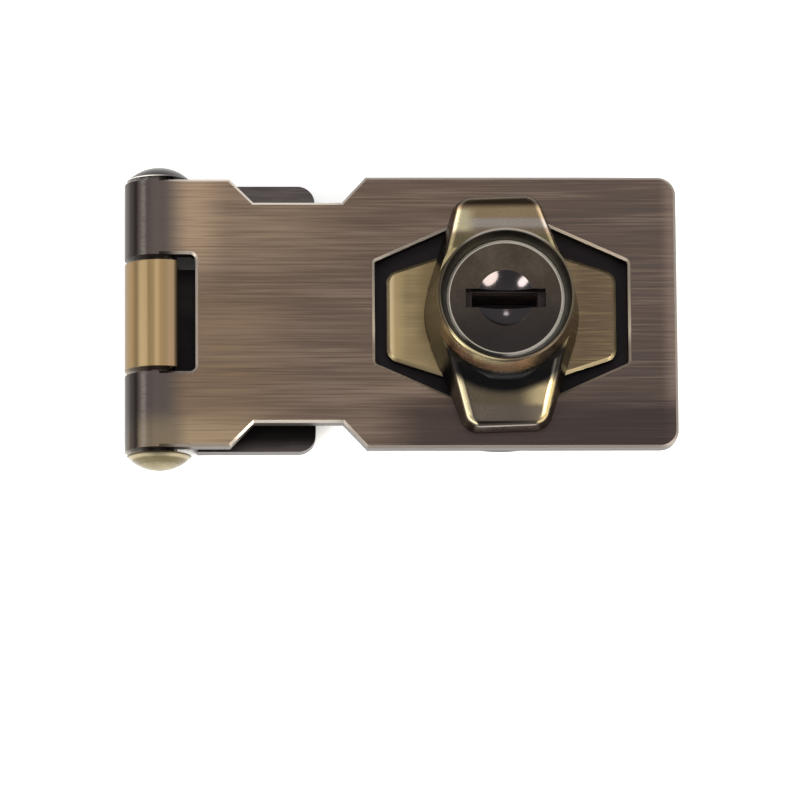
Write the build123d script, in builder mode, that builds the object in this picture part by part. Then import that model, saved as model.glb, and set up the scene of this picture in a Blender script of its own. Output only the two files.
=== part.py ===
from build123d import *
from math import cos, pi, radians, sin, tan
import os

# Keyed hasp lock for a cabinet, box or drawer, lying on its back.
# The mounting plane is Z = 0, the lock axis is the Z axis, and the strap runs
# along X from its hinge at the left to its free end at the right.

# Running fits and gaps
running_fit = 0.05
slide_fit = 0.05
face_gap = 0.1
wing_gap = 0.3

# Slack used only to pick edges and corners by their place
selector_gap = 0.05

# Hinge
barrel_radius = 4.75
pin_radius = 2.2
hinge_to_lock = 47.1
leaf_knuckle_width = 14.9
knuckle_gap = 0.75
curl_end_angle = 58.0
plate_angle = 90.0
pin_head_radius = 4.45
pin_head_dome = 1.95
pin_head_gap = 0.55
pin_rivet_length = 1.0
pin_rivet_radius = 1.3

# Strap plate; the leaf has the same height as its hinge end
strap_thickness = 2.5
strap_height = 37.5
lock_end_height = 38.0
strap_end_from_lock = 24.2
strap_end_corner = 2.5
strap_play_y = 0.45
waist_depth = 3.3
waist_start = -34.1
waist_end = -21.9
plate_bevel = 0.35
slot_to_pin = 5.0
slot_corner = 0.8

# Window in the strap
window_half_length = 17.45
window_side_half_height = 7.1
window_half_height = 12.0
window_slope = 24.2
window_corner = 0.5

# Mounting leaf
leaf_thickness = 2.5
leaf_length = 21.6
leaf_corner = 2.4
leaf_offset_y = 0.5
leaf_barrel_gap = 0.6
leaf_screw_spacing = 24.0
leaf_screw_from_pin = 13.2
screw_hole_radius = 1.9
screw_sink_radius = 3.1
screw_sink_angle = 90.0

# Lock base
base_half_length = 20.6
base_half_height = 17.4
boss_rise = 2.1
boss_half_length = 15.8
boss_side_half_height = 5.95
boss_half_height = 10.5
boss_slope = 18.0
boss_corner = 1.8
boss_bevel = 0.45
base_screw_offset = 13.8
bolt_notch_depth = 1.75
bolt_notch_gap = 0.2

# Knob body
knob_rise = 14.2
rim_radius = 9.27
rim_wall = 0.47
rim_bevel = 0.15
hub_radius = 10.65
spigot_radius = 7.6
spigot_length = 7.7
lower_bore_radius = 5.2
tail_bore_radius = 6.6

# Knob wings
wing_half_length = 16.4
wing_tip_half_width = 5.6
wing_side_angle = 19.6
wing_root_offset = 4.0
wing_crest_offset = 8.0
wing_tip_thickness = 2.7
wing_slope = 30.0
wing_draft = 8.0
wing_turn = 2.0
wing_corner = 2.6
wing_round = 1.5
wing_flare_fillet = 2.2

# Key cylinder
face_radius = 8.05
face_recess = 2.4
face_thickness = 2.3
face_ring = 0.3
face_ring_drop = 0.1
face_seat_gap = 0.07
dish_radius = 3.9
dish_depth = 1.3
keyway_width = 10.9
keyway_height = 2.6
blade_width = 9.0
blade_height = 2.3
plug_radius = 6.0
sleeve_radius = 7.7
sleeve_length = 7.5
sleeve_groove_depth = 0.8
sleeve_groove_gap = 0.25
clip_groove_depth = 0.75
clip_thickness = 0.5
clip_width = 1.15
clip_mouth_angle = 34.0
tail_square = 4.0
tail_length = 1.3

# Wafers and their springs
wafer_count = 5
wafer_start = 0.4
wafer_thickness = 0.9
wafer_pitch = 1.4
wafer_width = 4.4
wafer_inset = 0.08
wafer_travel = 0.7
wafer_window_length = 9.1
wafer_window_height = 2.5
wafer_arm_start = 1.2
wafer_arm_width = 0.8
wafer_arm_reach = 1.2
spring_wire = 0.2
spring_coil_radius = 0.3
spring_turns = 3
spring_sides = 8
spring_length = 3.5

# Cam, locking bolt and retainer
cam_radius = 4.2
cam_thickness = 1.85
cam_pin_radius = 0.8
cam_pin_throw = 1.15
cam_rest_angle = 45.0
bolt_thickness = 2.4
bolt_half_width = 2.8
bolt_bottom = 4.5
bolt_inset = 0.2
bolt_slot_clearance = 0.15
retainer_thickness = 1.1
retainer_radius = 9.6
retainer_bore_radius = 4.0
retainer_screw_count = 3
retainer_screw_circle = 6.4
retainer_screw_radius = 0.8
retainer_screw_head = 1.5
retainer_screw_length = 3.7
screw_slot_width = 0.35
screw_slot_depth = 0.35
washer_thickness = 0.2
washer_inner_radius = 8.0
washer_outer_radius = 9.5
washer_cone = 0.18
washer_gap = 0.04

# Places worked out from the sizes above
pin_x = -hinge_to_lock
pin_z = barrel_radius
knuckle_bore = pin_radius + running_fit
slot_width = leaf_knuckle_width + 2 * knuckle_gap
strap_front = 2 * barrel_radius
strap_under = strap_front - strap_thickness
boss_top = strap_under + boss_rise
hub_bottom = boss_top + face_gap
wing_under = strap_front + wing_gap
knob_front = boss_top + knob_rise
face_front = knob_front - face_recess
face_back = face_front - face_thickness
sleeve_top = face_back - face_gap
sleeve_bottom = sleeve_top - sleeve_length
clip_top = sleeve_bottom - wing_gap
clip_bottom = clip_top - clip_thickness
spigot_bottom = hub_bottom - spigot_length
retainer_bottom = spigot_bottom - retainer_thickness
cam_bottom = bolt_bottom + bolt_thickness + bolt_inset
cam_top = cam_bottom + cam_thickness
plug_bottom = cam_top + slide_fit
tail_bottom = plug_bottom - tail_length
bolt_tip = spigot_radius - bolt_inset
recess_top = spigot_bottom + washer_thickness + washer_cone + face_gap
wafer_first = sleeve_bottom + wafer_start
pocket_reach = wafer_width / 2 + wafer_arm_reach + face_gap
pocket_start = wafer_arm_start + wafer_arm_width + wafer_travel + face_gap
pocket_end = spring_length - wafer_arm_start + slide_fit

os.makedirs("parts", exist_ok=True)


def save(piece, name):
    piece.part.label = name
    export_step(piece.part, f"parts/{name}.step")


def mirrored_outline(corners):
    """Four-way mirrored outline from its corners in the first quadrant, in order."""
    upper = corners + [(-x, y) for x, y in reversed(corners)]
    return upper + [(-x, -y) for x, y in upper]


def tapered_outline(half_length, side_half_height, half_height, slope):
    """Long eight-sided outline whose sides rise from its ends to its middle."""
    rise = half_height - side_half_height
    run = rise / tan(radians(slope))
    return mirrored_outline([(half_length, side_half_height), (half_length - run, half_height)])


def rolled_knuckle(mouth_from, mouth_to):
    """Section of a rolled knuckle about the pin, open between two angles."""
    Circle(barrel_radius)
    Circle(knuckle_bore, mode=Mode.SUBTRACT)
    reach = 2 * barrel_radius
    middle = (mouth_from + mouth_to) / 2
    mouth = [(0, 0)]
    for angle in (mouth_from, middle, mouth_to):
        mouth.append((reach * cos(radians(angle)), reach * sin(radians(angle))))
    Polygon(*mouth, align=None, mode=Mode.SUBTRACT)


# Section plane of the hinge: X along the strap, Y towards the front face
hinge_section = Plane(origin=(pin_x, strap_play_y, pin_z), x_dir=(1, 0, 0), z_dir=(0, -1, 0))
strap_plane = Plane(origin=(0, strap_play_y, strap_under))
leaf_plane = Plane(origin=(pin_x, strap_play_y, 0))

# Strap: a plate with a waist, a window and two rolled knuckles
with BuildPart() as hasp_strap:
    with BuildSketch(strap_plane):
        top = strap_height / 2
        lock_end_top = lock_end_height / 2
        waist = top - waist_depth
        upper = [
            (strap_end_from_lock, lock_end_top),
            (waist_end + waist_depth, lock_end_top),
            (waist_end, waist),
            (waist_start, waist),
            (waist_start - waist_depth, top),
            (pin_x, top),
        ]
        Polygon(*upper, *[(x, -y) for x, y in reversed(upper)], align=None)
        end_corners = [v for v in vertices() if v.X > strap_end_from_lock - selector_gap]
        fillet(end_corners, strap_end_corner)
    extrude(amount=strap_thickness)
    with BuildSketch(strap_plane):
        window = tapered_outline(window_half_length, window_side_half_height,
                                 window_half_height, window_slope)
        Polygon(*window, align=None)
        fillet(vertices(), window_corner)
    extrude(amount=strap_thickness, mode=Mode.SUBTRACT)
    with BuildSketch(strap_plane):
        with Locations((pin_x, 0)):
            Rectangle(2 * slot_to_pin, slot_width)
        slot_corners = [v for v in vertices() if v.X > pin_x]
        fillet(slot_corners, slot_corner)
    extrude(amount=strap_thickness, mode=Mode.SUBTRACT)
    front_face = hasp_strap.faces().filter_by(GeomType.PLANE).sort_by(Axis.Z)[-1]
    worn_edges = [e for e in front_face.edges() if e.center().X > pin_x + selector_gap]
    chamfer(worn_edges, plate_bevel)
    for side in (-1, 1):
        with BuildSketch(hinge_section.offset(side * slot_width / 2)):
            rolled_knuckle(-curl_end_angle, plate_angle)
        extrude(amount=side * (strap_height - slot_width) / 2)
    with BuildSketch(hinge_section):
        Circle(knuckle_bore)
    extrude(amount=strap_height, both=True, mode=Mode.SUBTRACT)
save(hasp_strap, "hasp_strap")

# Mounting leaf: a plate with one rolled knuckle in the middle
with BuildPart() as mounting_leaf:
    with BuildSketch(leaf_plane):
        barrel_clear = barrel_radius + leaf_barrel_gap
        with Locations((barrel_clear, leaf_offset_y)):
            Rectangle(leaf_length - barrel_clear, strap_height, align=(Align.MIN, Align.CENTER))
        fillet(vertices().group_by(Axis.X)[-1], leaf_corner)
        Rectangle(leaf_length / 2, leaf_knuckle_width, align=(Align.MIN, Align.CENTER))
    extrude(amount=leaf_thickness)
    with BuildSketch(hinge_section):
        rolled_knuckle(-plate_angle, curl_end_angle)
    extrude(amount=leaf_knuckle_width / 2, both=True)
    with BuildSketch(hinge_section):
        Circle(knuckle_bore)
    extrude(amount=leaf_knuckle_width, both=True, mode=Mode.SUBTRACT)
    with Locations(leaf_plane.offset(leaf_thickness)):
        with Locations((leaf_screw_from_pin, leaf_offset_y + leaf_screw_spacing / 2),
                       (leaf_screw_from_pin, leaf_offset_y - leaf_screw_spacing / 2)):
            CounterSinkHole(screw_hole_radius, screw_sink_radius, leaf_thickness, screw_sink_angle)
save(mounting_leaf, "mounting_leaf")

# Hinge pin with one formed head, and the cap riveted on its lower end
pin_axis = Axis((pin_x, strap_play_y, pin_z), (0, 1, 0))
pin_section = Plane(origin=(pin_x, strap_play_y, pin_z))
head_start = strap_height / 2 + pin_head_gap
dome_radius = (pin_head_radius**2 + pin_head_dome**2) / (2 * pin_head_dome)


def domed_head(direction):
    """Half section of a domed head beyond one end of the pin."""
    side = Align.MIN if direction > 0 else Align.MAX
    with Locations((0, direction * (head_start + pin_head_dome - dome_radius))):
        Circle(dome_radius)
    with Locations((0, direction * head_start)):
        Rectangle(2 * pin_head_radius, pin_head_dome,
                  align=(Align.MIN, side), mode=Mode.INTERSECT)


with BuildPart() as hinge_pin:
    with BuildSketch(hinge_section.offset(-head_start)):
        Circle(pin_radius)
    extrude(amount=2 * head_start)
    with BuildSketch(hinge_section.offset(head_start)):
        Circle(pin_rivet_radius)
    extrude(amount=pin_rivet_length)
    with BuildSketch(pin_section):
        domed_head(1)
    revolve(axis=pin_axis)
save(hinge_pin, "hinge_pin")

with BuildPart() as hinge_pin_cap:
    with BuildSketch(pin_section):
        domed_head(-1)
    revolve(axis=pin_axis)
    with BuildSketch(hinge_section.offset(head_start)):
        Circle(pin_rivet_radius)
    extrude(amount=pin_rivet_length, mode=Mode.SUBTRACT)
save(hinge_pin_cap, "hinge_pin_cap")

# Lock base: an oval body that carries the strap, with a long boss on top
with BuildPart() as lock_base:
    with BuildSketch():
        Ellipse(base_half_length, base_half_height)
    extrude(amount=strap_under)
    with BuildSketch(Plane.XY.offset(strap_under)):
        boss = tapered_outline(boss_half_length, boss_side_half_height,
                               boss_half_height, boss_slope)
        Polygon(*boss, align=None)
        boss_ends = [v for v in vertices() if abs(v.X) > boss_half_length - selector_gap]
        fillet(boss_ends, boss_corner)
    extrude(amount=boss_rise)
    chamfer(lock_base.faces().sort_by(Axis.Z)[-1].edges(), boss_bevel)
    with BuildSketch():
        Circle(retainer_radius + wing_gap)
    extrude(amount=recess_top, mode=Mode.SUBTRACT)
    with BuildSketch():
        Circle(spigot_radius + running_fit)
    extrude(amount=boss_top, mode=Mode.SUBTRACT)
    with BuildSketch(Plane.XY.offset(bolt_bottom - bolt_notch_gap)):
        with PolarLocations(0, 2, angular_range=180):
            Rectangle(spigot_radius + bolt_notch_depth, 2 * (bolt_half_width + bolt_notch_gap),
                      align=(Align.MIN, Align.CENTER))
    extrude(amount=bolt_thickness + 2 * bolt_notch_gap, mode=Mode.SUBTRACT)
    with Locations(Plane.XY.offset(strap_under)):
        with Locations((0, base_screw_offset), (0, -base_screw_offset)):
            CounterSinkHole(screw_hole_radius, screw_sink_radius, strap_under, screw_sink_angle)
save(lock_base, "lock_base")

# Knob: a hollow spigot and cup with two sloping wings, cast as one piece
wing_tip_top = wing_under + wing_tip_thickness
slope_rate = tan(radians(wing_slope))
side_rate = tan(radians(wing_side_angle))
wing_root_half = wing_tip_half_width + (wing_half_length - wing_root_offset) * side_rate
wing_crest = wing_tip_top + (wing_half_length - wing_crest_offset) * slope_rate
wing_plan = mirrored_outline([(wing_root_half, wing_root_offset),
                              (wing_tip_half_width, wing_half_length)])
cup_lean = (hub_radius - rim_radius) / (knob_front - hub_bottom)
slope_at_axis = wing_tip_top + wing_half_length * slope_rate
flare_radius = (hub_radius - (slope_at_axis - hub_bottom) * cup_lean) / (1 - slope_rate * cup_lean)
flare_height = slope_at_axis - flare_radius * slope_rate
flare_reach = flare_radius + wing_flare_fillet
flare_top = flare_height + wing_flare_fillet

# Concave flare that joins each wing's slope to the cup
with BuildPart() as wing_flare:
    with BuildSketch(Plane.XY.offset(wing_under)):
        Polygon(*wing_plan, align=None)
    extrude(amount=flare_top - wing_under, taper=wing_draft)
    with BuildSketch(Plane.XZ):
        Polygon((0, wing_under), (flare_reach, wing_under),
                (flare_reach, slope_at_axis - flare_reach * slope_rate), (flare_radius, flare_height),
                (flare_radius - wing_flare_fillet * cup_lean, flare_top), (0, flare_top), align=None)
        flare_corner = vertices().sort_by_distance((flare_radius, flare_height))[0]
        fillet(flare_corner, wing_flare_fillet)
    revolve(axis=Axis.Z, mode=Mode.INTERSECT)

with BuildPart() as winged_cup:
    with BuildSketch(Plane.XY.offset(wing_under)):
        Polygon(*wing_plan, align=None)
    extrude(amount=wing_crest - wing_under + face_gap, taper=wing_draft)
    tip_corners = [e for e in winged_cup.edges().filter_by(Plane.XY, reverse=True)
                   if abs(e.center().Y) > wing_crest_offset]
    fillet(tip_corners, wing_corner)
    with BuildSketch(Plane.YZ):
        Polygon((-wing_half_length, wing_under), (wing_half_length, wing_under),
                (wing_half_length, wing_tip_top), (wing_crest_offset, wing_crest),
                (-wing_crest_offset, wing_crest), (-wing_half_length, wing_tip_top), align=None)
    extrude(amount=wing_half_length, both=True, mode=Mode.INTERSECT)
    slope_lift = cos(radians(wing_slope))
    slopes = [f for f in winged_cup.faces() if abs(f.normal_at().Z - slope_lift) < selector_gap]
    slope_rims = [e for f in slopes for e in f.edges()
                  if abs(e.center().Y) > wing_crest_offset + selector_gap]
    fillet(slope_rims, wing_round)
    add(wing_flare.part)
    with BuildSketch(Plane.XZ):
        Polygon((0, spigot_bottom), (spigot_radius, spigot_bottom), (spigot_radius, hub_bottom),
                (hub_radius, hub_bottom), (rim_radius, knob_front), (0, knob_front), align=None)
    revolve(axis=Axis.Z)
    rim_edge = winged_cup.edges().filter_by(GeomType.CIRCLE).sort_by(Axis.Z)[-1]
    chamfer(rim_edge, rim_bevel)
    with BuildSketch(Plane.XZ):
        Polygon((0, spigot_bottom), (lower_bore_radius, spigot_bottom),
                (lower_bore_radius, bolt_bottom - slide_fit), (tail_bore_radius, bolt_bottom - slide_fit),
                (tail_bore_radius, sleeve_bottom), (sleeve_radius, sleeve_bottom),
                (sleeve_radius, sleeve_top), (face_radius + face_seat_gap, sleeve_top),
                (face_radius + face_seat_gap, face_front), (rim_radius - rim_wall, knob_front),
                (0, knob_front), align=None)
    revolve(axis=Axis.Z, mode=Mode.SUBTRACT)

# The wings stand a little turned from square, and the spigot is cut for the bolt and screws
with BuildPart() as wing_knob:
    add(winged_cup.part, rotation=(0, 0, wing_turn))
    with BuildSketch(Plane.XY.offset(bolt_bottom - slide_fit)):
        Rectangle(2 * hub_radius, 2 * (bolt_half_width + slide_fit))
    extrude(amount=bolt_thickness + 2 * slide_fit, mode=Mode.SUBTRACT)
    with BuildSketch(Plane.XY.offset(spigot_bottom)):
        with PolarLocations(retainer_screw_circle, retainer_screw_count, start_angle=90):
            Circle(retainer_screw_radius)
    extrude(amount=retainer_screw_length - retainer_thickness, mode=Mode.SUBTRACT)
save(wing_knob, "wing_knob")

# Sleeve of the key cylinder, with grooves for the wafers at each quarter turn
with BuildPart() as cylinder_sleeve:
    with BuildSketch(Plane.XY.offset(sleeve_bottom)):
        Circle(sleeve_radius)
        Circle(plug_radius + running_fit, mode=Mode.SUBTRACT)
        with PolarLocations(0, 2, angular_range=180):
            Rectangle(2 * (plug_radius + sleeve_groove_depth), wafer_width + 2 * sleeve_groove_gap,
                      mode=Mode.SUBTRACT)
    extrude(amount=sleeve_length)
save(cylinder_sleeve, "cylinder_sleeve")

# Turning plug, with the keyway, five wafer slots, spring pockets and a square tail
with BuildPart() as key_plug:
    with BuildSketch(Plane.XY.offset(plug_bottom)):
        Circle(plug_radius)
    extrude(amount=face_back - plug_bottom)
    with BuildSketch(Plane.XY.offset(tail_bottom)):
        Rectangle(tail_square, tail_square)
    extrude(amount=tail_length)
    with BuildSketch(Plane.XY.offset(clip_bottom - slide_fit)):
        Circle(plug_radius)
        Circle(plug_radius - clip_groove_depth, mode=Mode.SUBTRACT)
    extrude(amount=clip_thickness + 2 * slide_fit, mode=Mode.SUBTRACT)
    with BuildSketch(Plane.XY.offset(wafer_first - wafer_pitch / 2)):
        Rectangle(blade_width, blade_height)
    extrude(until=Until.LAST, mode=Mode.SUBTRACT)
    for index in range(wafer_count):
        turn = 180 * (index % 2)
        with BuildSketch(Plane.XY.offset(wafer_first + index * wafer_pitch - slide_fit)):
            Rectangle(2 * plug_radius, wafer_width + 2 * slide_fit)
            with PolarLocations(0, 1, start_angle=turn):
                Polygon((-pocket_start, 0), (pocket_end, 0), (pocket_end, pocket_reach),
                        (-pocket_start, pocket_reach), align=None)
        extrude(amount=wafer_thickness + 2 * slide_fit, mode=Mode.SUBTRACT)
save(key_plug, "key_plug")

# Hard face of the plug, with a dish round the keyway
with BuildPart() as plug_face_cap:
    with BuildSketch(Plane.XY.offset(face_back)):
        Circle(face_radius)
    extrude(amount=face_thickness)
    face_edge = plug_face_cap.edges().filter_by(GeomType.CIRCLE).sort_by(Axis.Z)[-1]
    chamfer(face_edge, face_ring_drop, face_ring)
    dish_sphere = (dish_radius**2 + dish_depth**2) / (2 * dish_depth)
    with Locations((0, 0, face_front - dish_depth + dish_sphere)):
        Sphere(dish_sphere, mode=Mode.SUBTRACT)
    with BuildSketch(Plane.XY.offset(face_back)):
        Rectangle(keyway_width, keyway_height)
    extrude(amount=face_thickness, mode=Mode.SUBTRACT)
save(plug_face_cap, "plug_face_cap")

# Wafers: each slides across the plug and has an arm that its spring pushes
for index in range(wafer_count):
    turn = 180 * (index % 2)
    wafer_level = Plane.XY.offset(wafer_first + index * wafer_pitch).rotated((0, 0, turn))
    with BuildPart() as wafer:
        with BuildSketch(wafer_level):
            Circle(plug_radius - wafer_inset)
            Rectangle(2 * plug_radius, wafer_width, mode=Mode.INTERSECT)
            Polygon((-wafer_arm_start - wafer_arm_width, 0), (-wafer_arm_start, 0),
                    (-wafer_arm_start, wafer_width / 2 + wafer_arm_reach),
                    (-wafer_arm_start - wafer_arm_width, wafer_width / 2 + wafer_arm_reach),
                    align=None)
            Rectangle(wafer_window_length, wafer_window_height, mode=Mode.SUBTRACT)
        extrude(amount=wafer_thickness)
    save(wafer, f"wafer_{index + 1}")

# Wafer springs: each coil lies between its wafer's arm and the pocket's end
coil_length = spring_length - 2 * (spring_wire + slide_fit)
coil_start = spring_wire + slide_fit - wafer_arm_start
coil_steps = spring_turns * spring_sides
pocket_middle = (wafer_width + wafer_arm_reach + slide_fit) / 2
for index in range(wafer_count):
    facing = 1 - 2 * (index % 2)
    level = wafer_first + index * wafer_pitch + wafer_thickness / 2
    with BuildPart() as wafer_spring:
        with BuildLine() as coil:
            Polyline(*[(facing * (coil_start + coil_length * step / coil_steps),
                        facing * pocket_middle + spring_coil_radius * cos(2 * pi * step / spring_sides),
                        level + spring_coil_radius * sin(2 * pi * step / spring_sides))
                       for step in range(coil_steps + 1)])
        with BuildSketch(Plane(origin=coil.line @ 0, z_dir=coil.line % 0)):
            Rectangle(spring_wire, spring_wire)
        sweep(path=coil.line, transition=Transition.RIGHT)
    save(wafer_spring, f"wafer_spring_{index + 1}")

# Open clip that keeps the plug in its sleeve
with BuildPart() as plug_clip:
    with BuildSketch(Plane.XY.offset(clip_bottom)):
        clip_inner = plug_radius - clip_groove_depth + slide_fit
        Circle(clip_inner + clip_width)
        Circle(clip_inner, mode=Mode.SUBTRACT)
        mouth_half = 2 * plug_radius * tan(radians(clip_mouth_angle))
        Polygon((0, 0), (2 * plug_radius, -mouth_half), (2 * plug_radius, mouth_half),
                align=None, mode=Mode.SUBTRACT)
    extrude(amount=clip_thickness)
save(plug_clip, "plug_clip")

# Cam on the plug's tail, with an off-centre pin that drives the bolt
cam_pin_x = -cam_pin_throw * sin(radians(cam_rest_angle))
cam_pin_y = cam_pin_throw * cos(radians(cam_rest_angle))
with BuildPart() as locking_cam:
    with BuildSketch(Plane.XY.offset(cam_bottom)):
        Circle(cam_radius)
    extrude(amount=cam_thickness)
    with BuildSketch(Plane.XY.offset(tail_bottom)):
        Rectangle(tail_square, tail_square)
    extrude(amount=cam_thickness, mode=Mode.SUBTRACT)
    with BuildSketch(Plane.XY.offset(bolt_bottom)):
        with Locations((cam_pin_x, cam_pin_y)):
            Circle(cam_pin_radius)
    extrude(amount=cam_bottom - bolt_bottom)
save(locking_cam, "locking_cam")

# Flat bolt that slides across the spigot, with a cross slot for the cam's pin
with BuildPart() as locking_bolt:
    with BuildSketch(Plane.XY.offset(bolt_bottom)):
        Circle(bolt_tip)
        Rectangle(2 * bolt_tip, 2 * bolt_half_width, mode=Mode.INTERSECT)
        pin_side = cam_pin_radius + bolt_slot_clearance
        Polygon((cam_pin_x - pin_side, cam_pin_y - pin_side),
                (cam_pin_x + pin_side, cam_pin_y - pin_side),
                (cam_pin_x + pin_side, cam_pin_throw + pin_side),
                (cam_pin_x - pin_side, cam_pin_throw + pin_side), align=None, mode=Mode.SUBTRACT)
    extrude(amount=bolt_thickness)
save(locking_bolt, "locking_bolt")

# Countersunk retainer screw, standing head down on the origin
screw_sink_depth = retainer_screw_head - retainer_screw_radius
with BuildPart() as retainer_screw:
    with BuildSketch(Plane.XZ):
        Polygon((0, 0), (retainer_screw_head, 0), (retainer_screw_radius, screw_sink_depth),
                (retainer_screw_radius, retainer_screw_length), (0, retainer_screw_length), align=None)
    revolve(axis=Axis.Z)

# Retainer disc and its screws, which hold the knob in the base from behind
retainer_level = Plane.XY.offset(retainer_bottom)
with BuildPart() as knob_retainer:
    with BuildSketch(retainer_level):
        Circle(retainer_radius)
        Circle(retainer_bore_radius, mode=Mode.SUBTRACT)
    extrude(amount=retainer_thickness)
    with Locations(retainer_level):
        with PolarLocations(retainer_screw_circle, retainer_screw_count, start_angle=90):
            add(retainer_screw.part, mode=Mode.SUBTRACT)
save(knob_retainer, "knob_retainer")

with BuildPart() as retainer_screws:
    with Locations(retainer_level):
        with PolarLocations(retainer_screw_circle, retainer_screw_count, start_angle=90):
            add(retainer_screw.part)
    with BuildSketch(retainer_level):
        with PolarLocations(retainer_screw_circle, retainer_screw_count, start_angle=90):
            Rectangle(2 * retainer_screw_head, screw_slot_width)
    extrude(amount=screw_slot_depth, mode=Mode.SUBTRACT)
save(retainer_screws, "retainer_screws")

# Cone-shaped spring washer between the retainer and the base
washer_level = spigot_bottom + washer_gap
with BuildPart() as spring_washer:
    with BuildSketch(Plane.XZ):
        Polygon((washer_inner_radius, washer_level + washer_cone),
                (washer_outer_radius, washer_level),
                (washer_outer_radius, washer_level + washer_thickness),
                (washer_inner_radius, washer_level + washer_cone + washer_thickness), align=None)
    revolve(axis=Axis.Z)
save(spring_washer, "spring_washer")
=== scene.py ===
import math
import bmesh
import bpy
from mathutils import Matrix, Vector

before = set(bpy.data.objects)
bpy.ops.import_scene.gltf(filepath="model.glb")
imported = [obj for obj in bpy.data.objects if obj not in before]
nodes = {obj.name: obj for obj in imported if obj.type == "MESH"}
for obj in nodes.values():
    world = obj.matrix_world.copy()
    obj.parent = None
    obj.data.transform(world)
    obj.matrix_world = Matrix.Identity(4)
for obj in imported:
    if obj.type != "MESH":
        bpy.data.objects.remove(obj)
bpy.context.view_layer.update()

mm = 0.001
print("frame loaded:", len(nodes), "nodes")


def linearColour(code):
    # sRGB hex to the linear colour that the shaders take
    parts = [int(code[i:i + 2], 16) / 255 for i in (1, 3, 5)]
    return [p / 12.92 if p <= 0.04045 else ((p + 0.055) / 1.055) ** 2.4 for p in parts] + [1.0]


def addNode(tree, kind, inputs=None, stops=(), **settings):
    # adds a node, sets it, and links or fills the inputs that are given; stops are a colour ramp's
    node = tree.nodes.new(kind)
    for name, value in settings.items():
        setattr(node, name, value)
    for index, (position, code) in enumerate(stops):
        ramp = node.color_ramp
        element = ramp.elements[index] if index < len(ramp.elements) else ramp.elements.new(position)
        element.position = position
        element.color = linearColour(code)
    for key, value in (inputs or {}).items():
        if isinstance(value, bpy.types.NodeSocket):
            tree.links.new(value, node.inputs[key])
        else:
            node.inputs[key].default_value = linearColour(value) if isinstance(value, str) else value
    return node


# The noise behind every metal: fine grain for streaks or casting skin, broad patches for cloudy plating
noiseLook = {
    "grainDetail": 3.0,
    "grainRoughness": 0.55,
    "patchDetail": 2.0,
    "middle": 0.5,                 # the level that the noise swings about
}


def zoneMask(tree, sources, where):
    # each mask names what it reads, where it starts and where it is full: places and radius in mm, the
    # way a face points from -1 to 1, grain from 0 to 1. The masks of one zone are multiplied
    mask = None
    for source, start, full in where:
        value, unit = sources[source]
        step = addNode(tree, "ShaderNodeMapRange", {
            "Value": value, "From Min": start * unit, "From Max": full * unit},
            interpolation_type="SMOOTHSTEP")
        if mask:
            step = addNode(tree, "ShaderNodeMath", {0: mask.outputs[0], 1: step.outputs[0]},
                           operation="MULTIPLY")
        mask = step
    return mask.outputs[0]


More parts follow.
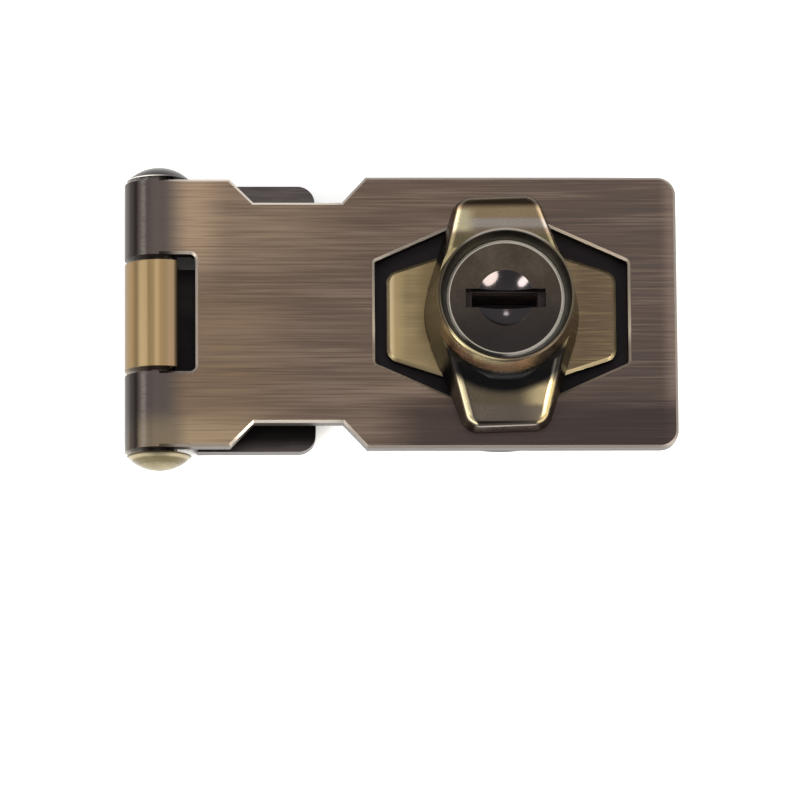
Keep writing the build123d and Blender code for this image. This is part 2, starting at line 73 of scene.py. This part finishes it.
def metalFinish(name, finish):
    # One metal: noise gives its tone and gloss, and zones paint patina, wear and handling on it in turn
    material = bpy.data.materials.new(name)
    material.use_nodes = True
    tree = material.node_tree
    tree.nodes.clear()
    place = addNode(tree, "ShaderNodeTexCoord")
    spot = addNode(tree, "ShaderNodeSeparateXYZ", {0: place.outputs["Object"]})
    facing = addNode(tree, "ShaderNodeSeparateXYZ", {0: place.outputs["Normal"]})
    flat = addNode(tree, "ShaderNodeVectorMath", {0: place.outputs["Object"], 1: (1, 1, 0)},
                   operation="MULTIPLY")          # the knob's axis is Z, and radius is taken from it
    radius = addNode(tree, "ShaderNodeVectorMath", {0: flat.outputs[0]}, operation="LENGTH")
    grainScale = [1 / (size * mm) for size in finish["grain"]]
    patchScale = [1 / (size * mm) for size in finish["patch"]]
    grainPlace = addNode(tree, "ShaderNodeMapping", {"Vector": place.outputs["Object"], "Scale": grainScale})
    patchPlace = addNode(tree, "ShaderNodeMapping", {"Vector": place.outputs["Object"], "Scale": patchScale})
    grain = addNode(tree, "ShaderNodeTexNoise", {
        "Vector": grainPlace.outputs[0], "Scale": 1.0,
        "Detail": noiseLook["grainDetail"], "Roughness": noiseLook["grainRoughness"]})
    patch = addNode(tree, "ShaderNodeTexNoise", {
        "Vector": patchPlace.outputs[0], "Scale": 1.0, "Detail": noiseLook["patchDetail"]})
    tone = addNode(tree, "ShaderNodeMix", {
        "Factor": finish["patchShare"], "A": grain.outputs[0], "B": patch.outputs[0]}, data_type="FLOAT")
    middle = noiseLook["middle"]
    low, high = middle - finish["spread"], middle + finish["spread"]
    smoothest, roughest = finish["roughness"]
    ramp = addNode(tree, "ShaderNodeValToRGB", {0: tone.outputs[0]}, stops=[
        (low, finish["dark"]), (middle, finish["middle"]), (high, finish["light"])])
    gloss = addNode(tree, "ShaderNodeMapRange", {
        "Value": tone.outputs[0], "From Min": low, "From Max": high,
        "To Min": roughest, "To Max": smoothest})
    colour, rough = ramp.outputs[0], gloss.outputs[0]
    sources = {
        "x": (spot.outputs[0], mm), "y": (spot.outputs[1], mm), "z": (spot.outputs[2], mm),
        "radius": (radius.outputs["Value"], mm),
        "facingX": (facing.outputs[0], 1), "facingY": (facing.outputs[1], 1),
        "facingZ": (facing.outputs[2], 1),
        "grain": (grain.outputs[0], 1),
    }
    for zone in finish["zones"]:
        amount = addNode(tree, "ShaderNodeMath", {
            0: zoneMask(tree, sources, zone["where"]), 1: zone["amount"]}, operation="MULTIPLY")
        colour = addNode(tree, "ShaderNodeMix", {
            "Factor": amount.outputs[0], "A": colour, "B": zone["colour"]}, data_type="RGBA").outputs[2]
        if "roughness" in zone:
            rough = addNode(tree, "ShaderNodeMix", {
                "Factor": amount.outputs[0], "A": rough, "B": zone["roughness"]},
                data_type="FLOAT").outputs[0]
    bump = addNode(tree, "ShaderNodeBump", {
        "Height": grain.outputs[0], "Strength": finish["bumpStrength"],
        "Distance": finish["bumpDepth"] * mm})
    metal = addNode(tree, "ShaderNodeBsdfPrincipled", {
        "Base Color": colour, "Metallic": 1.0, "Roughness": rough, "Normal": bump.outputs["Normal"]})
    addNode(tree, "ShaderNodeOutputMaterial", {"Surface": metal.outputs["BSDF"]})
    return material


# In each finish, grain and patch are the pattern's size in mm along X, Y and Z, spread is how far the noise
# swings from dark to light, roughness is smoothest and roughest, and bumpDepth is in mm. Brush lines are
# drawn 0.2 to 0.3 mm wide, coarser than real ones, so that they show in the photo's view. Masks that
# several zones share are named above their finish

# Antique bronze plating brushed along the strap: fine streaks, painted light that makes it tan by the hinge
# and darker towards the free end, a painted shadow below the knob, and a pale line where the bevels have
# worn
strapBevel = [("facingZ", 0.45, 0.6), ("facingZ", 0.97, 0.9)]
strapWindow = [("x", -20.0, -19.0), ("x", 20.0, 19.0)]
strapFinish = {
    "dark": "#4E423A", "middle": "#68584E", "light": "#8A796C",
    "grain": (14.0, 0.28, 0.28), "patch": (26.0, 2.6, 2.6), "patchShare": 0.4, "spread": 0.28,
    "roughness": (0.32, 0.44), "bumpStrength": 0.2, "bumpDepth": 0.008,
    "zones": [
        # painted light: tan by the hinge, lit from the upper left, with the streaks showing through
        {"colour": "#8C7865", "amount": 0.9, "where": [("x", -16, -36), ("y", 2, 12), ("grain", 0.1, 0.7)]},
        {"colour": "#7F6A55", "amount": 0.75, "where": [("x", -25, -38), ("y", 8, 0), ("grain", 0.1, 0.7)]},
        {"colour": "#A48D76", "amount": 0.85,
         "where": [("x", -37.0, -42.0), ("y", 2, 12), ("grain", 0.15, 0.65)]},
        # darker towards the free end and its lower corner as painted shade, with a paler strip at the very
        # end
        {"colour": "#554B48", "amount": 0.9, "where": [("x", -14, 16), ("grain", 0.9, 0.25)]},
        {"colour": "#463E3C", "amount": 0.6, "where": [("x", 0, 21), ("y", 5, -14), ("grain", 0.9, 0.25)]},
        {"colour": "#86746A", "amount": 0.85, "where": [("x", 21.6, 24.1), ("grain", 0.1, 0.6)]},
        # along the lower edge: painted shadow below the knob from the waist to the free end, tan by the
        # hinge
        {"colour": "#3F3736", "amount": 0.85, "where": [("x", -19, -10), ("y", -10, -14)]},
        {"colour": "#A08C72", "amount": 0.8,
         "where": [("x", -30, -36), ("y", -12.5, -16.5), ("grain", 0.0, 0.6)]},
        # the knuckles: dark and smooth, tan at the lower end, a soft painted highlight line and left of it
        # two bands of painted shade
        {"colour": "#4F4846", "amount": 0.95, "roughness": 0.3, "where": [("x", -42.6, -46.6)]},
        {"colour": "#7D6F5A", "amount": 0.65, "where": [("x", -43, -46), ("y", -12.5, -16.5)]},
        {"colour": "#948C83", "amount": 0.42,
         "where": [("facingX", -0.34, -0.43), ("facingX", -0.57, -0.47), ("grain", 0.0, 0.8)]},
        {"colour": "#2E2A2A", "amount": 0.8, "where": [("facingX", -0.86, -0.93)]},
        {"colour": "#262122", "amount": 0.85,
         "where": [("facingX", -0.57, -0.68), ("facingX", -0.93, -0.84)]},
        # worn bevels, palest at the waist, and dark walls below them
        {"colour": "#978F88", "amount": 0.85, "roughness": 0.5, "where": [("x", -46.4, -44.0), *strapBevel]},
        {"colour": "#D8CFC5", "amount": 0.85,
         "where": [("x", -20.0, -24.0), ("x", -46.4, -42.0), ("y", -17.6, -16.6), *strapBevel]},
        {"colour": "#352E2C", "amount": 0.9, "where": [("x", -47.0, -46.4), ("facingZ", 0.45, 0.3)]},
        # the window's bevels, rubbed rough by the boss: pale above, greyer in the lower part
        {"colour": "#F2E8DC", "amount": 0.95, "roughness": 0.7,
         "where": [*strapWindow, ("y", 14.0, 13.5), ("y", -6, -2), *strapBevel]},
        {"colour": "#B5A99C", "amount": 0.9, "roughness": 0.7,
         "where": [*strapWindow, ("y", -14.0, -13.5), ("y", -2, -6), *strapBevel]},
    ],
}

# The leaf's plate keeps its dark bronze plating, and painted shade darkens it towards its lower end. Its
# knuckle is satin brass, with bands of painted reflection, painted shade and a painted highlight along the
# pin
leafKnuckle = ("z", 2.6, 3.4)
leafPlate = ("z", 3.0, 2.4)
leafFinish = {
    "dark": "#453E3E", "middle": "#564F4F", "light": "#655E5D",
    "grain": (6.0, 0.25, 0.25), "patch": (9.0, 3.0, 3.0), "patchShare": 0.5, "spread": 0.25,
    "roughness": (0.34, 0.46), "bumpStrength": 0.15, "bumpDepth": 0.008,
    "zones": [
        # brass knuckle: two darker bands of painted reflection, painted shade on its left side, a painted
        # highlight line and painted shade on its right side
        {"colour": "#A8906A", "amount": 1.0, "roughness": 0.3, "where": [leafKnuckle, ("x", -40.5, -41.0)]},
        {"colour": "#85704C", "amount": 0.75,
         "where": [leafKnuckle, ("facingX", -0.38, -0.3), ("facingX", -0.08, -0.18)]},
        {"colour": "#8D7350", "amount": 0.65,
         "where": [leafKnuckle, ("facingX", -0.04, 0.04), ("facingX", 0.2, 0.1)]},
        {"colour": "#7C6646", "amount": 0.85, "where": [leafKnuckle, ("facingX", -0.58, -0.75)]},
        {"colour": "#F0C99C", "amount": 0.85,
         "where": [leafKnuckle, ("facingX", 0.16, 0.32), ("facingX", 0.5, 0.42)]},
        {"colour": "#2A2018", "amount": 0.9, "where": [leafKnuckle, ("facingX", 0.41, 0.5)]},
        # painted shade on the plate: towards its lower end, short of the very edge, and where the hinge slot
        # shows it
        {"colour": "#151213", "amount": 0.95, "where": [("y", -18.2, -15.8), ("y", 13, -15), leafPlate]},
        {"colour": "#121112", "amount": 0.9,
         "where": [("y", 9.5, 8.5), ("y", -9.5, -8.5), leafPlate, ("x", -36.0, -39.0)]},
    ],
}

# Dark bronze plating on the pin's formed head, smooth from the heading die: grey sides, a crown painted
# nearly black as shade, and below it a painted highlight band that gets bright towards the left
pinFinish = {
    "dark": "#2C2828", "middle": "#3B3737", "light": "#524D4C",
    "grain": (0.5, 0.5, 0.5), "patch": (3.0, 3.0, 3.0), "patchShare": 0.6, "spread": 0.25,
    "roughness": (0.22, 0.32), "bumpStrength": 0.1, "bumpDepth": 0.006,
    "zones": [
        {"colour": "#6B6562", "amount": 0.8, "where": [("facingY", 0.18, 0.10)]},
        # a crown painted nearly black as shade, then a painted highlight band
        {"colour": "#141212", "amount": 0.9, "where": [("y", 19.95, 20.1)]},
        {"colour": "#F0E9E2", "amount": 0.95,
         "where": [("y", 19.35, 19.55), ("y", 20.0, 19.85), ("x", -45.5, -49.5)]},
    ],
}

# Satin brass on the riveted cap, its plating rubbed through: painted shade at its foot, then a band of
# painted highlight and a darker band of painted reflection round it
capFinish = {
    "dark": "#615842", "middle": "#7C7258", "light": "#94896C",
    "grain": (0.5, 0.5, 0.5), "patch": (3.0, 3.0, 3.0), "patchShare": 0.6, "spread": 0.25,
    "roughness": (0.24, 0.34), "bumpStrength": 0.1, "bumpDepth": 0.006,
    "zones": [
        # painted shade at the cap's foot, then a painted highlight band and a darker band of painted
        # reflection
        {"colour": "#3A3020", "amount": 0.85, "where": [("y", -19.1, -18.95)]},
        {"colour": "#A59A80", "amount": 0.85, "where": [("y", -19.5, -19.3), ("y", -19.0, -19.15)]},
        {"colour": "#5D553E", "amount": 0.7, "where": [("y", -20.2, -20.0), ("y", -19.4, -19.6)]},
    ],
}

# The boss is brushed antique brass: pale at its left end, with the knob's shadow painted beside it, brown at
# its right and bright on its worn bevel. Below it the base is nearly black: dark patina, and painted shade
# where the strap covers it
baseFinish = {
    "dark": "#75664A", "middle": "#89785A", "light": "#9D8B68",
    "grain": (7.0, 0.22, 0.22), "patch": (9.0, 4.0, 4.0), "patchShare": 0.5, "spread": 0.28,
    "roughness": (0.30, 0.42), "bumpStrength": 0.2, "bumpDepth": 0.008,
    "zones": [
        # painted shadow of the knob on the boss, at its lower left
        {"colour": "#68583E", "amount": 0.7,
         "where": [("x", -12.5, -9.8), ("x", -5.0, -7.0), ("y", -5, -2)]},
        {"colour": "#A08D67", "amount": 0.8, "where": [("x", -12.8, -14.6)]},
        {"colour": "#C0AB86", "amount": 0.95, "where": [("x", -14.5, -15.2)]},
        {"colour": "#635343", "amount": 1.0, "where": [("x", 6, 11.4), ("grain", 0.25, 0.55)]},
        {"colour": "#CFBE98", "amount": 0.9, "where": [("facingZ", 0.4, 0.5), ("facingZ", 0.95, 0.88)]},
        # nearly black base below the boss: dark patina, and painted shade where the strap covers it
        {"colour": "#2C282A", "amount": 1.0, "roughness": 0.55, "where": [("z", 8.55, 8.2)]},
    ],
}

# Cast antique brass: gold on the wings, cream where hands have worn the edges and where highlights are
# painted on them, and brown-black painted shade round the foot of the cup and inside it
cupWall = ("facingZ", 0.45, 0.3)
cupFlank = ("radius", 11.2, 10.7)
cupRim = ("z", 22.9, 23.1)
belowRim = ("z", 22.6, 22.2)
aboveWings = ("z", 17.5, 18.5)
knobFinish = {
    "dark": "#6E6245", "middle": "#938663", "light": "#B4A882",
    "grain": (0.9, 0.9, 0.9), "patch": (5.0, 5.0, 5.0), "patchShare": 0.7, "spread": 0.30,
    "roughness": (0.22, 0.30), "bumpStrength": 0.03, "bumpDepth": 0.006,
    "zones": [
        # lower wing: grey-brown, with a gold painted highlight at its right, greyer towards a tip painted
        # dark as shade
        {"colour": "#6C6256", "amount": 0.8, "where": [("y", -8, -10), ("z", 20.0, 19.0)]},
        {"colour": "#F5DFAE", "amount": 0.9,
         "where": [("y", -10, -11.5), ("x", 1.5, 5.6), ("z", 17.0, 16.0)]},
        {"colour": "#7C726A", "amount": 0.85, "where": [("y", -13.0, -13.9)]},
        {"colour": "#2A2522", "amount": 0.95, "where": [("y", -15.4, -15.65)]},
        # upper wing: tan, with a pale and a gold band of painted reflection, a painted highlight at its left
        # and a tip painted dark as shade
        {"colour": "#A8927E", "amount": 0.8, "where": [("y", 9.5, 10.5)]},
        {"colour": "#D6CAC0", "amount": 0.75, "where": [("y", 10.6, 11.4), ("y", 13.0, 12.2)]},
        {"colour": "#C2A680", "amount": 0.85, "where": [("y", 12.0, 13.0)]},
        {"colour": "#FFF0C4", "amount": 1.0,
         "where": [("y", 10.0, 11.0), ("y", 14.4, 13.4), ("x", -3.2, -5.6), ("facingZ", 0.5, 0.65)]},
        {"colour": "#2E2419", "amount": 0.95, "where": [("y", 13.9, 15.0)]},
        # edges: the lower wing's are worn and carry painted highlights, cream at the left and gold at the
        # right, with painted highlights on its left flank and on its tip's end, and both wings' walls are
        # dark at their foot
        {"colour": "#F2E4BC", "amount": 0.95,
         "where": [("y", -9, -10), ("facingX", -0.1, -0.2), ("facingX", -0.8, -0.65),
                   ("facingZ", 0.45, 0.6)]},
        {"colour": "#B7A475", "amount": 0.95,
         "where": [("y", -10, -11), ("facingX", 0.1, 0.25), ("facingX", 0.85, 0.7), ("facingZ", 0.4, 0.5)]},
        {"colour": "#4A3E2E", "amount": 0.85, "where": [("facingZ", 0.35, 0.25), ("z", 16.0, 14.0)]},
        {"colour": "#A0957F", "amount": 0.8,
         "where": [("y", -8, -9.5), ("facingX", -0.6, -0.85), ("facingZ", 0.6, 0.5)]},
        {"colour": "#BDB1A8", "amount": 0.9, "where": [("y", -14.8, -15.2), ("facingY", -0.9, -0.98)]},
        # cup: painted shade on its walls, dark at the left and brown at the right, then on its lower side a
        # copper and a brown arc, and a cream painted highlight below the rim towards the left
        {"colour": "#28241B", "amount": 0.9, "where": [cupWall, ("x", -5, -8), belowRim]},
        {"colour": "#6A573E", "amount": 0.8, "where": [cupWall, ("x", 6, 8.5), belowRim]},
        {"colour": "#D8AC88", "amount": 0.85, "where": [cupFlank, ("y", -3, -7), aboveWings, ("x", 6, 2)]},
        {"colour": "#6D5642", "amount": 0.8, "where": [cupFlank, ("y", -2, -5), aboveWings, ("x", 2, 6)]},
        {"colour": "#F0E2B8", "amount": 0.85,
         "where": [("z", 20.5, 22.0), ("y", -3, -5), ("x", 1.5, -1.5), ("facingZ", 0.6, 0.5)]},
        # painted shade: black in the corner between the cup and the lower wing
        {"colour": "#12141A", "amount": 0.96,
         "where": [("y", -5.0, -6.5), ("z", 19.0, 18.3), ("radius", 9.7, 9.9), ("radius", 12.6, 11.4)]},
        # rim: brown, with painted shade at the upper left, a grey painted highlight at the top and a cream
        # one at the lower left
        {"colour": "#5A5146", "amount": 0.9, "where": [cupRim]},
        {"colour": "#413B33", "amount": 0.85, "where": [cupRim, ("x", 1, -5), ("y", -3, 1)]},
        {"colour": "#968D85", "amount": 0.85, "where": [cupRim, ("y", 6.5, 8.5)]},
        {"colour": "#C9BB92", "amount": 0.9, "where": [cupRim, ("y", -4, -6), ("x", 1, -3)]},
        # the bore and the spigot below the hub are painted black as shade
        {"colour": "#1E1C17", "amount": 0.95, "roughness": 0.4, "where": [("radius", 9.0, 8.9)]},
        {"colour": "#1B1817", "amount": 1.0, "roughness": 0.5, "where": [("z", 9.8, 9.5)]},
    ],
}

# Black nickel on the plug's face: satin and darker towards its lower edge, with a pale ring round it painted
# as a highlight, a polished dish and black keyway walls
faceRing = [("radius", 7.74, 7.76), ("z", 18.0, 19.0)]
faceFinish = {
    "dark": "#373029", "middle": "#433B34", "light": "#504840",
    "grain": (0.6, 0.6, 0.6), "patch": (6.0, 6.0, 6.0), "patchShare": 0.7, "spread": 0.25,
    "roughness": (0.26, 0.36), "bumpStrength": 0.05, "bumpDepth": 0.004,
    "zones": [
        {"colour": "#282526", "amount": 0.85, "where": [("y", 4, -6)]},
        # the pale ring is a painted highlight, dimmer at its left and painted dark as shade at its lower
        # left
        {"colour": "#BDB5AA", "amount": 0.95, "roughness": 0.4,
         "where": [("radius", 7.58, 7.66), ("z", 18.0, 19.0)]},
        {"colour": "#F6F0E6", "amount": 1.0, "roughness": 0.6, "where": [*faceRing]},
        {"colour": "#8A837B", "amount": 0.7, "where": [*faceRing, ("x", 1, -5)]},
        {"colour": "#3D3A36", "amount": 0.9,
         "where": [*faceRing, ("y", -4, -6), ("x", 1, -1), ("x", -6.4, -5.0)]},
        {"colour": "#575152", "amount": 1.0, "roughness": 0.14,
         "where": [("radius", 3.95, 3.85), ("facingZ", 0.2, 0.4)]},
        {"colour": "#141214", "amount": 1.0, "where": [("facingZ", 0.4, 0.2), ("radius", 6.2, 5.8)]},
    ],
}

# Machined brass of the sleeve and the plug: fine turning rings along Z. The plug's keyway is painted dark as
# shade
machinedFinish = {
    "dark": "#A28D57", "middle": "#BFA76C", "light": "#D3BE84",
    "grain": (3.0, 3.0, 0.12), "patch": (4.0, 4.0, 4.0), "patchShare": 0.4, "spread": 0.25,
    "roughness": (0.26, 0.36), "bumpStrength": 0.15, "bumpDepth": 0.006, "zones": [],
}
plugFinish = dict(machinedFinish, zones=[
    # the keyway painted dark as shade
    {"colour": "#4B4243", "amount": 1.0, "roughness": 0.6, "where": [("radius", 5.95, 5.75)]},
])

# Stamped brass of the wafers: faintly drawn lines across them
waferFinish = {
    "dark": "#8C7A4E", "middle": "#B09A64", "light": "#CBB67E",
    "grain": (0.3, 2.5, 0.3), "patch": (2.0, 2.0, 2.0), "patchShare": 0.5, "spread": 0.25,
    "roughness": (0.30, 0.42), "bumpStrength": 0.1, "bumpDepth": 0.004, "zones": [],
}

# Spring steel, drawn or rolled bright: smooth and pale grey
springFinish = {
    "dark": "#8E8F92", "middle": "#A9AAAD", "light": "#C4C5C7",
    "grain": (1.5, 0.15, 0.15), "patch": (2.0, 2.0, 2.0), "patchShare": 0.5, "spread": 0.25,
    "roughness": (0.22, 0.32), "bumpStrength": 0.05, "bumpDepth": 0.003, "zones": [],
}

# Zinc plating on the steel parts behind the base: blue-grey with cloudy patches
zincFinish = {
    "dark": "#85898E", "middle": "#A2A6AA", "light": "#BDC0C2",
    "grain": (0.4, 0.4, 0.4), "patch": (3.5, 3.5, 3.5), "patchShare": 0.6, "spread": 0.25,
    "roughness": (0.32, 0.46), "bumpStrength": 0.1, "bumpDepth": 0.005, "zones": [],
}

wafers = [f"wafer_{n}" for n in range(1, 6)]
waferSprings = [f"wafer_spring_{n}" for n in range(1, 6)]
finishes = {
    "brushedAntiqueBronze": (strapFinish, ["hasp_strap"]),
    "darkBronzeAndBrassLeaf": (leafFinish, ["mounting_leaf"]),
    "headedDarkBronze": (pinFinish, ["hinge_pin"]),
    "rubbedSatinBrass": (capFinish, ["hinge_pin_cap"]),
    "brushedAntiqueBrass": (baseFinish, ["lock_base"]),
    "castAntiqueBrass": (knobFinish, ["wing_knob"]),
    "blackNickel": (faceFinish, ["plug_face_cap"]),
    "machinedBrass": (machinedFinish, ["cylinder_sleeve"]),
    "shadedKeywayBrass": (plugFinish, ["key_plug"]),
    "stampedBrass": (waferFinish, wafers),
    "brightSpringSteel": (springFinish, ["plug_clip", "spring_washer"] + waferSprings),
    "zincPlatedSteel": (zincFinish, ["locking_cam", "locking_bolt", "knob_retainer", "retainer_screws"]),
}
for name, (finish, members) in finishes.items():
    material = metalFinish(name, finish)
    for member in members:
        nodes[member].data.materials.clear()
        nodes[member].data.materials.append(material)
print("finishes given:", len(finishes))

# Floor: matt pale paper, with a little white of its own for the camera and for what the metal mirrors
paperFloor = {
    "size": 6.0,                   # metres across
    "drop": 0.00002,               # metres below the mounting plane
    "colour": "#F4F4F3",
    "roughness": 0.9,
    "glow": 0.60,                  # white that the camera and mirrors see on top of the paper's colour
    "glowColour": "#FFFFFF",
    "coverReach": 0.012,           # metres within which the lock takes that white away under itself
    "covered": 0.15,               # openness up to which no white is left
    "open": 0.5,                   # openness from which all of it is there
}
floorShape = bmesh.new()
bmesh.ops.create_grid(floorShape, x_segments=1, y_segments=1, size=paperFloor["size"] / 2,
                      matrix=Matrix.Translation((0, 0, -paperFloor["drop"])))
floorMesh = bpy.data.meshes.new("studioFloor")
floorShape.to_mesh(floorMesh)
floorShape.free()
floor = bpy.data.objects.new("studioFloor", floorMesh)
bpy.context.scene.collection.objects.link(floor)
paper = bpy.data.materials.new("matPaper")
paper.use_nodes = True
tree = paper.node_tree
tree.nodes.clear()
ray = addNode(tree, "ShaderNodeLightPath")
seen = addNode(tree, "ShaderNodeMath", {0: ray.outputs["Is Camera Ray"], 1: ray.outputs["Is Glossy Ray"]},
               operation="MAXIMUM")
seen = addNode(tree, "ShaderNodeMath", {0: seen.outputs[0], 1: ray.outputs["Is Transmission Ray"]},
               operation="MAXIMUM")
openness = addNode(tree, "ShaderNodeAmbientOcclusion", {"Distance": paperFloor["coverReach"]})
clear = addNode(tree, "ShaderNodeMapRange", {
    "Value": openness.outputs["AO"], "From Min": paperFloor["covered"], "From Max": paperFloor["open"],
    "To Max": paperFloor["glow"]})
glow = addNode(tree, "ShaderNodeMath", {0: seen.outputs[0], 1: clear.outputs[0]}, operation="MULTIPLY")
sheet = addNode(tree, "ShaderNodeBsdfPrincipled", {
    "Base Color": paperFloor["colour"], "Roughness": paperFloor["roughness"],
    "Emission Color": paperFloor["glowColour"], "Emission Strength": glow.outputs[0]})
addNode(tree, "ShaderNodeOutputMaterial", {"Surface": sheet.outputs["BSDF"]})
floor.data.materials.append(paper)
print("floor laid")

# Room light: even and pale, and darker on the camera's side, towards -Y
studioRoom = {
    "colour": "#F2F3F5",
    "level": 0.42,
    "darkLevel": 0.32,
    "darkUntil": -0.75,            # how far a direction points along Y where the dark side ends
    "paleFrom": 0.1,               # and where the pale rest begins
}
world = bpy.data.worlds.new("studioRoom")
bpy.context.scene.world = world
world.use_nodes = True
tree = world.node_tree
tree.nodes.clear()
towards = addNode(tree, "ShaderNodeTexCoord")
side = addNode(tree, "ShaderNodeSeparateXYZ", {0: towards.outputs["Generated"]})
level = addNode(tree, "ShaderNodeMapRange", {
    "Value": side.outputs[1], "From Min": studioRoom["darkUntil"], "From Max": studioRoom["paleFrom"],
    "To Min": studioRoom["darkLevel"], "To Max": studioRoom["level"]}, interpolation_type="SMOOTHSTEP")
air = addNode(tree, "ShaderNodeBackground", {"Color": studioRoom["colour"], "Strength": level.outputs[0]})
addNode(tree, "ShaderNodeOutputWorld", {"Surface": air.outputs[0]})

# Soft boxes that face the lock: place and size in metres, and power in watts
softBoxes = {
    "overheadBox": {"shape": "RECTANGLE", "place": (-0.15, 0.30, 1.25), "width": 1.10, "height": 0.90,
                    "watts": 3.0, "colour": "#FFFDF8"},
    "rightFrontBox": {"shape": "ELLIPSE", "place": (0.50, -0.47, 0.46), "width": 0.56, "height": 0.46,
                      "watts": 6.4, "colour": "#FFF9EC"},
    "leftFrontBox": {"shape": "ELLIPSE", "place": (-0.50, -0.36, 0.53), "width": 0.26, "height": 0.38,
                     "watts": 2.7, "colour": "#FFFDF6"},
    "rightLowBox": {"shape": "RECTANGLE", "place": (0.80, -0.55, 0.24), "width": 0.50, "height": 0.42,
                    "watts": 0.55, "colour": "#FFF9EC"},
    "leftLowBox": {"shape": "RECTANGLE", "place": (-0.74, -0.57, 0.35), "width": 0.28, "height": 0.34,
                   "watts": 0.90, "colour": "#FFF9EC"},
    "leftBackBox": {"shape": "RECTANGLE", "place": (-0.58, 0.80, 0.14), "width": 0.34, "height": 0.24,
                    "watts": 0.20, "colour": "#FFF9EC"},
    "leftBox": {"shape": "RECTANGLE", "place": (-0.72, 0.14, 0.52), "width": 0.08, "height": 0.60,
                "watts": 0.5, "colour": "#FFFFFF"},
    "backBox": {"shape": "ELLIPSE", "place": (0.02, 0.60, 0.57), "width": 0.14, "height": 0.14,
                "watts": 0.25, "colour": "#FFFFFF"},
}
for name, box in softBoxes.items():
    lamp = bpy.data.lights.new(name, "AREA")
    lamp.shape = box["shape"]
    lamp.size = box["width"]
    lamp.size_y = box["height"]
    lamp.energy = box["watts"]
    lamp.color = linearColour(box["colour"])[:3]
    holder = bpy.data.objects.new(name, lamp)
    holder.location = box["place"]
    holder.rotation_euler = (-Vector(box["place"])).to_track_quat("-Z", "Y").to_euler()
    bpy.context.scene.collection.objects.link(holder)
print("studio set:", len(softBoxes), "soft boxes")

# The camera looks down on the lock from its lower side, turned a little about its own line of sight
cameraSettings = {
    "azimuth": -10.261,            # degrees anticlockwise from +Y, as seen from above
    "elevation": 78.731,           # degrees above the floor
    "roll": 10.009,                # degrees about the line of sight
    "distance": 0.95849,           # metres from the target
    "target": (-0.014084, -0.011896, 0.0095),      # metres
    "lens": 314.48,                # mm, as is the sensor's width
    "sensor": 36.0,
}
azimuth, elevation, roll = (math.radians(cameraSettings[k]) for k in ("azimuth", "elevation", "roll"))
ahead = Vector((-math.sin(azimuth) * math.cos(elevation), math.cos(azimuth) * math.cos(elevation),
                -math.sin(elevation)))
across = Vector((math.cos(azimuth), math.sin(azimuth), 0))
right = across * math.cos(roll) + across.cross(ahead) * math.sin(roll)
camera = bpy.data.objects.new("photoCamera", bpy.data.cameras.new("photoCamera"))
camera.data.lens = cameraSettings["lens"]
camera.data.sensor_width = cameraSettings["sensor"]
view = Matrix((right, right.cross(ahead), -ahead)).transposed().to_4x4()
view.translation = Vector(cameraSettings["target"]) - ahead * cameraSettings["distance"]
camera.matrix_world = view
bpy.context.scene.collection.objects.link(camera)
bpy.context.scene.camera = camera
bpy.context.scene.view_settings.view_transform = "Standard"
print("camera placed")
